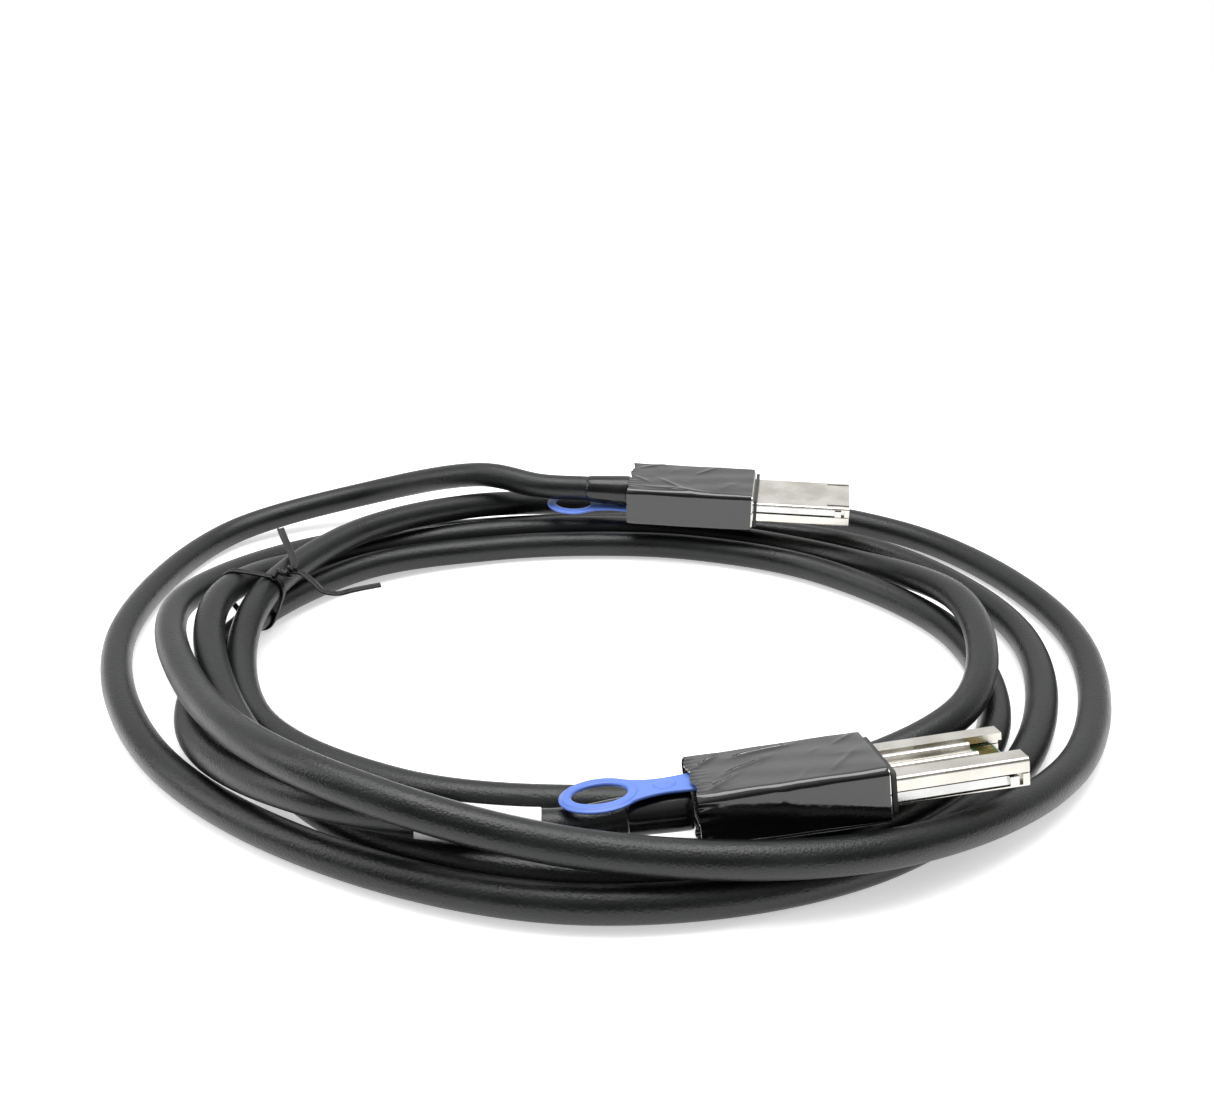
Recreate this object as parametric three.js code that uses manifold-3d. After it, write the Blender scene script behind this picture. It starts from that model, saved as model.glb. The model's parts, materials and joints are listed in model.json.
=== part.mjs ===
// Mini SAS cable: a thick round cable lying in four and a half turns, with a die-cast plug at each end.
// Millimetres, +Z up, the floor at z = 0. The viewer stands on the -Y side.
import * as THREE from 'three';
import Module from 'manifold-3d';
import { mergeVertices } from 'three/addons/utils/BufferGeometryUtils.js';

const wasm = await Module();
wasm.setup();

// Shared clearance between pieces that touch
const faceGap = 0.3;

// How far a cutting shape reaches past what it cuts, and joined shapes run into each other
const overcut = 1;
const lap = 0.1;
const flushCut = 0.01; // keeps the end of a cut off a face that it would share

// Cable
const cableWidth = 8.2;
const cableSides = 10;
const cableStep = 20; // degrees of azimuth between two sections of the tube
const straightRun = 16; // the cable leaves a boot straight before it bends

// Housing, the two die-cast halves behind the nose
const housingLength = 39.5;
const housingHeight = 11;
const housingCorner = 1.1;
const sideWall = 0.9;
const roofThickness = 2.5;
const floorThickness = 1.4;
const rearWall = 2.5;
const frontWall = 3;

// Nose, the part that goes into the socket
const noseLength = 30.5;
const noseWidth = 19;
const noseHeight = 6.6;
const noseCorner = 0.8;
const mouthHeight = 3.2;
const channelWidth = 9.6;
const channelDepth = 1.2;
const ribOffset = 2.6;
const ribRadius = 0.9;
const ribStart = 2;
const windowStart = 22;
const tipSlotLength = 7;
const tipSlotWidth = 0.8;
const tipSlotDepth = 1.3;
const tipSlotOffset = 7.6;

// Paddle card
const cardWidth = 13;
const cardThickness = 1;
const cardInset = 2; // behind the nose's tip
const cardTail = 17.5; // behind the housing's front face
const padCount = 13;
const padPitch = 0.8;
const padWidth = 0.5;
const padLength = 4;
const padHeight = 0.12;
const padInset = 0.5; // behind the card's front edge

// Latch frame
const armCover = 0.4; // the arm lies this far inside the nose's side
const armThickness = 0.6;
const armHeight = 2;
const armReach = 28;
const hookLength = 2;
const hookProud = 0.5;
const yokeFront = -10;
const yokeLength = 2;
const crossbarLift = 1.4;
const crossbarHeight = 0.8;
const latchTravel = 2;

// Pull tab
const strapWidth = 8.4;
const strapThickness = 0.8;
const lipThickness = 0.8;
const neckWidth = 6.8;
const neckTaper = 2.5; // behind the shell, where the neck has narrowed to its width
const neckIntoRing = 1;
const ringBehindShell = 19.5;
const ringLength = 17.5;
const ringWidth = 16.4;
const ringHoleLength = 13;
const ringHoleWidth = 9.5;
const ringThickness = 1.1;
const ovalBehindShell = 5.6;
const ovalLength = 5.3;
const ovalWidth = 4.3;
const ovalHeight = 0.4;

// Film shrunk around the housing
const filmWall = 0.5;
const filmOverhang = 1; // past the housing's rear face
const filmSetback = 0.4; // behind the housing's front face

// Cable end: boot, core and crimp
const cableDrop = 0.7; // the cable's axis lies this far under the split between the halves
const bootLength = 14;
const bootRadius = 4.9;
const bootEndRadius = 4.3;
const bootShoulder = 1; // the straight band at the boot's front end
const hubRadius = 3.8;
const coreRadius = 2.4;
const coreLength = 8.3; // from the hub's face into the cavity
const crimpLength = 6.5;
const crimpWall = 0.4;

// Wires, screws and gasket
const wirePairsPerSide = 4;
const wirePitch = 2.7;
const wireWidth = 2.4;
const wireHeight = 1.2;
const combLength = 1.8;
const screwBehindFront = 24;
const screwOffset = 7.6;
const bossRadius = 1.9;
const bossLap = 0.5; // the boss runs this far into the wall
const screwRadius = 0.8;
const screwHeadRadius = 1.5;
const screwHeadHeight = 0.7;
const screwSink = 1.2;
const screwDepth = 2.6;
const gasketThickness = 1;
const gasketHeight = 10;

// Label sleeve, as shares of the straight tube step that it sits on
const labelStepFrom = 1690;
const labelStart = 0.03;
const labelEnd = 0.73;
const labelWall = 0.25;
const labelSides = 16;

// Twist tie round three turns
const tieAzimuth = 175;
const tieWidth = 2.2;
const tieThickness = 0.8;
const tieTurns = [2, 3, 4];
const tieSlack = 0.1; // beyond the shared clearance
const knotAngle = 120; // where the knot sits round the loop, in degrees
const knotSize = [6, 1.6, 2];
const knotFrom = [-2.8, 1.9, 0]; // the knot's middle, from the loop's point under it
const knotLean = -0.35;
const knotTwist = 0.9; // radians a millimetre
// The tails from the same point: away from the coil's axis, up, back along the cable
const longTail = [[-3, 2.2, -0.5], [-5.5, 2.6, 1], [-1.5, 3.4, 11], [6, 4.6, 25]];
const bentTail = [[-3, 2.2, 0.5], [-7, 2.4, 0.2], [-13, 0.4, -3.5], [-18.5, -1.4, -6.2],
  [-24.5, -0.8, -4.4], [-31.5, -0.4, -1]];

// Where the two plugs lie: place of the housing's front face and yaw, pitch, roll in degrees
const frontPlace = { at: [63.2, -93.4, 17.4], yaw: 7.7, pitch: 4.9, roll: -10 };
const backPlace = { at: [53, 61, 21.1], yaw: -9, pitch: 0, roll: 185 };

// Moves the whole cable so that the origin is under the middle of its box
const boxShift = [-0.306, 10.746, -0.1];

// The cable's route, one row a turn: azimuth in degrees, distance from the coil's centre, height
const turns = [
  [[115, 88.5, 22.8], [131, 122.5, 11.1], [150, 142, 4.9], [180, 134, 4.7], [210, 123.5, 4.2],
    [240, 117.7, 4.5], [270, 120.8, 5], [300, 123.4, 4.3], [330, 124.5, 4.2], [360, 123, 4.6],
    [390, 110.5, 4.3], [420, 90, 4.3]],
  [[450, 80.5, 4.2], [480, 85.5, 4.5], [510, 105.5, 6.8], [540, 116, 13.8], [570, 111, 17.6],
    [600, 116.5, 23.9], [630, 117.5, 16], [660, 128.5, 11.6], [690, 136, 5.2], [720, 138, 4.5],
    [750, 130.5, 4.2], [780, 112.5, 4.7]],
  [[810, 94, 7.1], [840, 84, 14.1], [870, 87.5, 15.9], [900, 95, 12.7], [930, 97, 5.6],
    [960, 89.5, 4.4], [990, 85, 4.4], [1020, 92, 5], [1050, 108, 11.4], [1080, 106, 13.8],
    [1110, 95, 5.5], [1140, 79, 5.5]],
  [[1170, 72, 6.6], [1200, 77, 6.8], [1230, 94, 7.2], [1260, 104.5, 15.7], [1290, 103.5, 11.2],
    [1320, 107.4, 5], [1350, 111.6, 4.3], [1380, 113.6, 4.4], [1410, 115, 4.6], [1440, 104, 4.2],
    [1470, 83.5, 4.6], [1500, 69, 4.4]],
  [[1530, 63.5, 4.4], [1560, 68.5, 4.4], [1590, 83.5, 5.6], [1620, 100, 5.4], [1650, 112.5, 6.6],
    [1680, 115.3, 15.9]],
];

// Sizes that follow from the ones above
const splitHalfGap = faceGap / 2;
const armOuter = noseWidth / 2 - armCover;
const armInner = armOuter - armThickness;
const armTop = -faceGap;
const armBottom = armTop - armHeight;
const recessFloor = armInner - faceGap;
const cavityHalfWidth = armOuter + faceGap;
const cavityTop = housingHeight / 2 - roofThickness;
const cavityBottom = floorThickness - housingHeight / 2;
const housingHalfWidth = cavityHalfWidth + sideWall;
const yokeBack = yokeFront - yokeLength;
const strapFront = yokeFront + faceGap + lipThickness;
const rearLipBack = yokeBack - faceGap - lipThickness;
const strapBottom = bootRadius + faceGap - cableDrop;
const grooveFloor = strapBottom - faceGap;
const shellBack = -housingLength - filmOverhang;
const bootFront = shellBack - faceGap;
const bootBack = bootFront - bootLength;
const cableStart = bootBack - faceGap;
const cavityBack = rearWall - housingLength;
const coreEnd = cavityBack + coreLength;
const seatZ = screwSink - housingHeight / 2;
const wholeWidth = [-housingHalfWidth - overcut, housingHalfWidth + overcut];

const shades = {
  jacket: [0x17181a, 0.5, 0],
  film: [0x08090a, 0.18, 0],
  nickel: [0xc4bfb6, 0.3, 1],
  spring: [0xa9a8a4, 0.3, 1],
  gasket: [0x3c3d3f, 0.85, 0],
  card: [0x1f5a34, 0.5, 0],
  tab: [0x6f7fc0, 0.45, 0],
  boot: [0x111214, 0.6, 0],
  crimp: [0xb9a26a, 0.35, 1],
  wire: [0x8fa3b4, 0.5, 0],
  label: [0xf0f0ec, 0.6, 0],
  tie: [0x0c0c0d, 0.4, 0],
};

// From geometry to solid and back
function asSolid(geometry) {
  const bare = geometry.clone();
  bare.deleteAttribute('normal');
  bare.deleteAttribute('uv');
  const merged = mergeVertices(bare, 1e-4);
  return new wasm.Manifold(new wasm.Mesh({
    numProp: 3,
    vertProperties: new Float32Array(merged.attributes.position.array),
    triVerts: new Uint32Array(merged.index.array),
  }));
}

function asMesh(name, shade, solid) {
  const data = solid.getMesh();
  const geometry = new THREE.BufferGeometry();
  geometry.setAttribute('position', new THREE.BufferAttribute(data.vertProperties, 3));
  geometry.setIndex(new THREE.BufferAttribute(data.triVerts, 1));
  geometry.computeVertexNormals();
  const [color, roughness, metalness] = shades[shade];
  const mesh = new THREE.Mesh(geometry, new THREE.MeshStandardMaterial({ color, roughness, metalness }));
  mesh.name = name;
  return mesh;
}

const joined = (solids) => solids.reduce((sum, solid) => sum.add(solid));

// A block between two corners
function block([x0, x1], [y0, y1], [z0, z1]) {
  const geometry = new THREE.BoxGeometry(x1 - x0, y1 - y0, z1 - z0);
  geometry.translate((x0 + x1) / 2, (y0 + y1) / 2, (z0 + z1) / 2);
  return asSolid(geometry);
}

// A round rod along X or Z
function rodX(radius, [x0, x1], y, z, sides = 24) {
  const geometry = new THREE.CylinderGeometry(radius, radius, x1 - x0, sides);
  geometry.rotateZ(-Math.PI / 2);
  geometry.translate((x0 + x1) / 2, y, z);
  return asSolid(geometry);
}

function rodZ(radius, [z0, z1], x, y, sides = 20) {
  const geometry = new THREE.CylinderGeometry(radius, radius, z1 - z0, sides);
  geometry.rotateX(Math.PI / 2);
  geometry.translate(x, y, (z0 + z1) / 2);
  return asSolid(geometry);
}

function roundedRectangle(width, height, corner) {
  const shape = new THREE.Shape();
  const x = width / 2 - corner;
  const y = height / 2 - corner;
  shape.absarc(x, y, corner, 0, Math.PI / 2);
  shape.absarc(-x, y, corner, Math.PI / 2, Math.PI);
  shape.absarc(-x, -y, corner, Math.PI, Math.PI * 1.5);
  shape.absarc(x, -y, corner, Math.PI * 1.5, Math.PI * 2);
  return shape;
}

// A shape drawn in Y and Z, drawn out along X
function barX(shape, [x0, x1], curveSegments = 3) {
  const geometry = new THREE.ExtrudeGeometry(shape, { depth: x1 - x0, bevelEnabled: false, curveSegments });
  geometry.applyMatrix4(new THREE.Matrix4().makeBasis(
    new THREE.Vector3(0, 1, 0),
    new THREE.Vector3(0, 0, 1),
    new THREE.Vector3(1, 0, 0),
  ));
  geometry.translate(x0, 0, 0);
  return asSolid(geometry);
}

// A shape drawn in X and Y, drawn up along Z
function plateZ(shape, [z0, z1], curveSegments = 16) {
  const geometry = new THREE.ExtrudeGeometry(shape, { depth: z1 - z0, bevelEnabled: false, curveSegments });
  geometry.translate(0, 0, z0);
  return asSolid(geometry);
}

const bothSides = (make) => make(1).add(make(-1));

// The span between two sizes on one side or the other of the middle plane
const mirrored = (side, near, far) => (side > 0 ? [near, far] : [-far, -near]);

// Housing halves, each with its half of the nose
function housingOutline() {
  const body = barX(
    roundedRectangle(housingHalfWidth * 2, housingHeight, housingCorner),
    [-housingLength, 0],
  );
  const nose = barX(roundedRectangle(noseWidth, noseHeight, noseCorner), [-frontWall, noseLength]);
  return body.add(nose);
}

function housingHollow() {
  const cavity = block(
    [cavityBack, -frontWall],
    [-cavityHalfWidth, cavityHalfWidth],
    [cavityBottom, cavityTop],
  );
  const mouth = block(
    [-frontWall - overcut, noseLength + overcut],
    [-cardWidth / 2 - faceGap, cardWidth / 2 + faceGap],
    [-mouthHeight / 2, mouthHeight / 2],
  );
  const cableHole = rodX(hubRadius + faceGap, [-housingLength - overcut, cavityBack + overcut], 0, -cableDrop);
  return joined([cavity, mouth, cableHole]);
}

function upperHousing() {
  const top = housingHeight / 2;
  const keep = block([-housingLength - overcut, noseLength + overcut], wholeWidth,
    [splitHalfGap, top + overcut]);
  let solid = housingOutline().intersect(keep).subtract(housingHollow());
  const boss = bothSides((side) => rodZ(bossRadius, [splitHalfGap, cavityTop + bossLap], -screwBehindFront,
    side * screwOffset));
  const screwHole = bothSides((side) => rodZ(screwRadius + faceGap, [0, screwDepth], -screwBehindFront,
    side * screwOffset));
  solid = solid.add(boss).subtract(screwHole);
  const grooveHalf = strapWidth / 2 + faceGap;
  const groove = block([-housingLength - overcut, strapFront + faceGap], [-grooveHalf, grooveHalf],
    [grooveFloor, top + overcut]);
  const slideRoom = block([rearLipBack - latchTravel - faceGap, strapFront + faceGap],
    [-grooveHalf, grooveHalf], [cavityTop - overcut, grooveFloor + overcut]);
  solid = solid.subtract(groove).subtract(slideRoom);
  const channelFloor = noseHeight / 2 - channelDepth;
  const channel = block([flushCut, noseLength + overcut], [-channelWidth / 2, channelWidth / 2],
    [channelFloor, noseHeight / 2 + overcut]);
  const rib = bothSides((side) => rodX(ribRadius, [ribStart, windowStart], side * ribOffset,
    noseHeight / 2 - ribRadius, 16)
    .add(block([ribStart, windowStart],
      [side * ribOffset - ribRadius, side * ribOffset + ribRadius],
      [channelFloor - lap, noseHeight / 2 - ribRadius])));
  const cardWindow = block([windowStart, noseLength + overcut], [-channelWidth / 2, channelWidth / 2],
    [0, noseHeight]);
  return solid.subtract(channel).add(rib).subtract(cardWindow);
}

function lowerHousing() {
  const bottom = -housingHeight / 2;
  const keep = block([-housingLength - overcut, noseLength + overcut], wholeWidth,
    [bottom - overcut, -splitHalfGap]);
  let solid = housingOutline().intersect(keep).subtract(housingHollow());
  const boss = bothSides((side) => rodZ(bossRadius, [cavityBottom - bossLap, -splitHalfGap],
    -screwBehindFront, side * screwOffset));
  const screwHole = bothSides((side) => rodZ(screwRadius + faceGap, [bottom - overcut, overcut], -screwBehindFront,
    side * screwOffset));
  const headSeat = bothSides((side) => rodZ(screwHeadRadius + faceGap, [bottom - overcut, seatZ],
    -screwBehindFront, side * screwOffset));
  solid = solid.add(boss).subtract(screwHole).subtract(headSeat);
  const armPassage = bothSides((side) => block([-frontWall - overcut, flushCut],
    mirrored(side, recessFloor, armOuter + faceGap), [armBottom - faceGap, 0]));
  const armRecess = bothSides((side) => block([0, armReach + overcut],
    mirrored(side, recessFloor, noseWidth), [armBottom - faceGap, 0]));
  const slotHalf = tipSlotWidth / 2;
  const tipSlot = bothSides((side) => block([noseLength - tipSlotLength, noseLength + overcut],
    [side * tipSlotOffset - slotHalf, side * tipSlotOffset + slotHalf],
    [-noseHeight, tipSlotDepth - noseHeight / 2]));
  return solid.subtract(armPassage).subtract(armRecess).subtract(tipSlot);
}

// Contact card with its gold pads
function paddleCard() {
  const half = cardThickness / 2;
  const cardFront = noseLength - cardInset;
  const pieces = [block([-cardTail, cardFront], [-cardWidth / 2, cardWidth / 2], [-half, half])];
  for (let pad = 0; pad < padCount; pad += 1) {
    const y = (pad - (padCount - 1) / 2) * padPitch;
    pieces.push(block([cardFront - padInset - padLength, cardFront - padInset],
      [y - padWidth / 2, y + padWidth / 2], [-half - padHeight, half + padHeight]));
  }
  return joined(pieces);
}

// Latch: two arms along the nose's sides, joined by a yoke over the card
function latchFrame() {
  const side = (sign) => joined([
    block([yokeBack, armReach], mirrored(sign, armInner, armOuter), [armBottom, armTop]),
    block([armReach - hookLength, armReach], mirrored(sign, armInner, noseWidth / 2 + hookProud),
      [armBottom, armTop]),
    block([yokeBack, yokeFront], mirrored(sign, armInner, armOuter),
      [armBottom, crossbarLift + crossbarHeight]),
  ]);
  const crossbar = block([yokeBack, yokeFront], [-armOuter, armOuter],
    [crossbarLift, crossbarLift + crossbarHeight]);
  return bothSides(side).add(crossbar);
}

// Pull tab: strap with two lips that hold the latch's crossbar, neck, oval boss and finger ring
function pullTab() {
  const strapTop = strapBottom + strapThickness;
  const ringCentre = shellBack - ringBehindShell;
  const strap = block([shellBack, strapFront], [-strapWidth / 2, strapWidth / 2], [strapBottom, strapTop]);
  const frontLip = block([strapFront - lipThickness, strapFront], [-strapWidth / 2, strapWidth / 2],
    [crossbarLift, strapTop]);
  const rearLip = block([rearLipBack, rearLipBack + lipThickness], [-strapWidth / 2, strapWidth / 2],
    [crossbarLift, strapTop]);
  const taper = new THREE.Shape([
    new THREE.Vector2(shellBack + lap, strapWidth / 2),
    new THREE.Vector2(shellBack - neckTaper, neckWidth / 2),
    new THREE.Vector2(ringCentre + ringHoleLength / 2 + neckIntoRing, neckWidth / 2),
    new THREE.Vector2(ringCentre + ringHoleLength / 2 + neckIntoRing, -neckWidth / 2),
    new THREE.Vector2(shellBack - neckTaper, -neckWidth / 2),
    new THREE.Vector2(shellBack + lap, -strapWidth / 2),
  ]);
  const neck = plateZ(taper, [strapBottom, strapTop]);
  const ringShape = new THREE.Shape();
  ringShape.absellipse(ringCentre, 0, ringLength / 2, ringWidth / 2, 0, Math.PI * 2);
  const hole = new THREE.Path();
  hole.absellipse(ringCentre, 0, ringHoleLength / 2, ringHoleWidth / 2, 0, Math.PI * 2);
  ringShape.holes.push(hole);
  const ring = plateZ(ringShape, [strapBottom, strapBottom + ringThickness]);
  const ovalShape = new THREE.Shape();
  ovalShape.absellipse(shellBack - ovalBehindShell, 0, ovalLength / 2, ovalWidth / 2, 0, Math.PI * 2);
  const oval = plateZ(ovalShape, [strapBottom, strapTop + ovalHeight], 10);
  return joined([strap, frontLip, rearLip, neck, ring, oval]);
}

function filmWrap() {
  const innerWidth = (housingHalfWidth + faceGap) * 2;
  const innerHeight = housingHeight + faceGap * 2;
  const innerCorner = housingCorner + faceGap;
  const outer = barX(roundedRectangle(innerWidth + filmWall * 2, innerHeight + filmWall * 2,
    innerCorner + filmWall), [shellBack, -filmSetback], 4);
  const inner = barX(roundedRectangle(innerWidth, innerHeight, innerCorner),
    [shellBack - overcut, overcut], 4);
  return outer.subtract(inner);
}

function gasketRing() {
  const span = [faceGap, faceGap + gasketThickness];
  const outer = barX(roundedRectangle(housingHalfWidth * 2, gasketHeight, housingCorner), span);
  const hole = barX(roundedRectangle(noseWidth + faceGap * 2, noseHeight + faceGap * 2,
    noseCorner + faceGap), [0, faceGap + gasketThickness + overcut]);
  return outer.subtract(hole);
}

// Boot outside, hub through the rear wall and the cable's core inside, one moulded piece
function strainRelief() {
  const profile = [
    [0, bootBack],
    [bootEndRadius, bootBack],
    [bootRadius, bootFront - bootShoulder],
    [bootRadius, bootFront],
    [hubRadius, bootFront],
    [hubRadius, cavityBack],
    [coreRadius, cavityBack],
    [coreRadius, coreEnd],
    [0, coreEnd],
  ].map(([radius, along]) => new THREE.Vector2(radius, along));
  const geometry = new THREE.LatheGeometry(profile, 24);
  geometry.rotateZ(-Math.PI / 2);
  geometry.translate(0, 0, -cableDrop);
  return asSolid(geometry);
}

function crimpFerrule() {
  const inner = coreRadius + faceGap;
  const span = [coreEnd - crimpLength - faceGap, coreEnd - faceGap];
  const hole = rodX(inner, [span[0] - overcut, span[1] + overcut], 0, -cableDrop);
  return rodX(inner + crimpWall, span, 0, -cableDrop).subtract(hole);
}

// Flat wire pairs over and under the card, held at the cable end by a moulded comb
function wirePairs() {
  const span = [coreEnd + faceGap, rearLipBack - latchTravel - faceGap];
  const section = roundedRectangle(wireWidth, wireHeight, wireHeight / 2 - flushCut);
  const wires = [];
  for (const level of [-1, 1]) {
    for (let wire = 0; wire < wirePairsPerSide; wire += 1) {
      const y = (wire - (wirePairsPerSide - 1) / 2) * wirePitch;
      const z = level * (cardThickness / 2 + faceGap + wireHeight / 2);
      wires.push(barX(section, span).translate([0, y, z]));
    }
  }
  const combWidth = (wirePairsPerSide - 1) * wirePitch + wireWidth;
  const combHalf = cardThickness / 2 + faceGap + wireHeight;
  const comb = block([span[0], span[0] + combLength], [-combWidth / 2, combWidth / 2],
    [-combHalf, combHalf]);
  return joined([comb, ...wires]);
}

function housingScrew(side) {
  const head = rodZ(screwHeadRadius, [seatZ - faceGap - screwHeadHeight, seatZ - faceGap],
    -screwBehindFront, side * screwOffset);
  const shank = rodZ(screwRadius, [seatZ - faceGap - lap, screwDepth - faceGap],
    -screwBehindFront, side * screwOffset);
  return head.add(shank);
}

const connectorPieces = [
  ['film_wrap', 'film', filmWrap],
  ['upper_housing', 'nickel', upperHousing],
  ['lower_housing', 'nickel', lowerHousing],
  ['emi_gasket', 'gasket', gasketRing],
  ['paddle_card', 'card', paddleCard],
  ['latch_frame', 'spring', latchFrame],
  ['pull_tab', 'tab', pullTab],
  ['strain_relief', 'boot', strainRelief],
  ['crimp_ferrule', 'crimp', crimpFerrule],
  ['wire_pairs', 'wire', wirePairs],
  ['screw_left', 'spring', () => housingScrew(1)],
  ['screw_right', 'spring', () => housingScrew(-1)],
];

function connector(prefix, place) {
  const group = new THREE.Group();
  for (const [name, shade, make] of connectorPieces) {
    group.add(asMesh(`${prefix}_${name}`, shade, make()));
  }
  const [yaw, pitch, roll] = [place.yaw, place.pitch, place.roll].map(THREE.MathUtils.degToRad);
  group.position.set(...place.at);
  group.rotation.set(roll, -pitch, yaw, 'ZYX');
  group.updateMatrixWorld();
  return group;
}

const frontConnector = connector('front', frontPlace);
const backConnector = connector('back', backPlace);

// The cable's centreline, from the back plug's boot to the front plug's boot
function cableEnd(group, along) {
  return group.localToWorld(new THREE.Vector3(cableStart - along, 0, -cableDrop));
}

const routePoints = [
  cableEnd(backConnector, 0),
  cableEnd(backConnector, straightRun),
  ...turns.flat().map(([azimuth, radius, height]) => {
    const angle = THREE.MathUtils.degToRad(azimuth);
    return new THREE.Vector3(radius * Math.cos(angle), radius * Math.sin(angle), height);
  }),
  cableEnd(frontConnector, straightRun),
  cableEnd(frontConnector, 0),
];
const centreline = new THREE.CatmullRomCurve3(routePoints);
const lastTurn = 360 * (turns.length - 1);
const bareAzimuth = (point) => (THREE.MathUtils.radToDeg(Math.atan2(point.y, point.x)) + 360) % 360;
const routeAzimuths = [
  ...routePoints.slice(0, 2).map(bareAzimuth),
  ...turns.flat().map(([azimuth]) => azimuth),
  ...routePoints.slice(-2).map((point) => bareAzimuth(point) + lastTurn),
];

// The azimuth at a share of the route, counted on through the turns
function azimuthAt(share) {
  const near = routeAzimuths[Math.round(share * (routePoints.length - 1))];
  const bare = bareAzimuth(centreline.getPoint(share));
  return bare + 360 * Math.round((near - bare) / 360);
}

function pointAtAzimuth(azimuth) {
  let low = 0;
  let high = 1;
  for (let halving = 0; halving < 40; halving += 1) {
    const middle = (low + high) / 2;
    if (azimuthAt(middle) < azimuth) low = middle;
    else high = middle;
  }
  return centreline.getPoint((low + high) / 2);
}

// A stretch of the centreline through a list of azimuths, one tube step between two of them
class CableStretch extends THREE.Curve {
  constructor(azimuths) {
    super();
    this.azimuths = azimuths;
  }

  getPoint(share, target = new THREE.Vector3()) {
    const at = share * (this.azimuths.length - 1);
    const step = Math.min(Math.floor(at), this.azimuths.length - 2);
    const azimuth = THREE.MathUtils.lerp(this.azimuths[step], this.azimuths[step + 1], at - step);
    return target.copy(pointAtAzimuth(azimuth));
  }

  getUtoTmapping(share) {
    return share;
  }
}

function polygon(radius, sides) {
  const corners = [];
  for (let side = 0; side < sides; side += 1) {
    const angle = (2 * Math.PI * side) / sides;
    corners.push(new THREE.Vector2(radius * Math.cos(angle), radius * Math.sin(angle)));
  }
  return new THREE.Shape(corners);
}

// The tube is cut into one node a turn, at azimuths that lie on its own steps
const firstAzimuth = routeAzimuths[0];
const lastAzimuth = routeAzimuths[routeAzimuths.length - 1];
const firstSection = 110;
const cuts = [450, 810, 1170, 1530];

function halfGapAngle(azimuth) {
  const point = pointAtAzimuth(azimuth);
  return THREE.MathUtils.radToDeg(faceGap / 2 / Math.hypot(point.x, point.y));
}

function cableTurn(index) {
  const first = index === 0;
  const last = index === cuts.length;
  const from = first ? firstAzimuth : cuts[index - 1] + halfGapAngle(cuts[index - 1]);
  const to = last ? lastAzimuth : cuts[index] - halfGapAngle(cuts[index]);
  const azimuths = [from];
  for (let azimuth = first ? firstSection : cuts[index - 1] + cableStep; azimuth < to - 1;
    azimuth += cableStep) {
    azimuths.push(azimuth);
  }
  azimuths.push(to);
  const tube = new THREE.ExtrudeGeometry(polygon(cableWidth / 2, cableSides), {
    steps: azimuths.length - 1,
    extrudePath: new CableStretch(azimuths),
    bevelEnabled: false,
  });
  return asMesh(`cable_turn_${index + 1}`, 'jacket', asSolid(tube));
}

// Label: a sleeve on the last long step of the tube
function labelSleeve() {
  const stepStart = pointAtAzimuth(labelStepFrom);
  const stepEnd = pointAtAzimuth(labelStepFrom + cableStep);
  const path = new THREE.LineCurve3(
    stepStart.clone().lerp(stepEnd, labelStart),
    stepStart.clone().lerp(stepEnd, labelEnd),
  );
  const inner = (cableWidth / 2 + faceGap) / Math.cos(Math.PI / labelSides);
  const section = polygon(inner + labelWall, labelSides);
  section.holes.push(polygon(inner, labelSides));
  const sleeve = new THREE.ExtrudeGeometry(section, { steps: 1, extrudePath: path, bevelEnabled: false });
  return asMesh('cable_label', 'label', asSolid(sleeve));
}

// The middle of the stepped tube, which runs straight between its sections
function tubePoint(azimuth) {
  const steps = (azimuth - firstSection) / cableStep;
  const section = firstSection + Math.floor(steps) * cableStep;
  return pointAtAzimuth(section).lerp(pointAtAzimuth(section + cableStep), steps - Math.floor(steps));
}

// Twist tie, drawn in the upright plane through the coil's axis at its azimuth:
// x away from the axis, y up, z back along the cable
function tieStrip(points) {
  const side = tieWidth / 2;
  const half = tieThickness / 2;
  const section = new THREE.Shape([
    new THREE.Vector2(-side, -half),
    new THREE.Vector2(side, -half),
    new THREE.Vector2(side, half),
    new THREE.Vector2(-side, half),
  ]);
  const path = new THREE.CatmullRomCurve3(points.map((point) => new THREE.Vector3(...point)));
  return asSolid(new THREE.ExtrudeGeometry(section, {
    steps: (points.length - 1) * 2,
    extrudePath: path,
    bevelEnabled: false,
  }));
}

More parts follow.
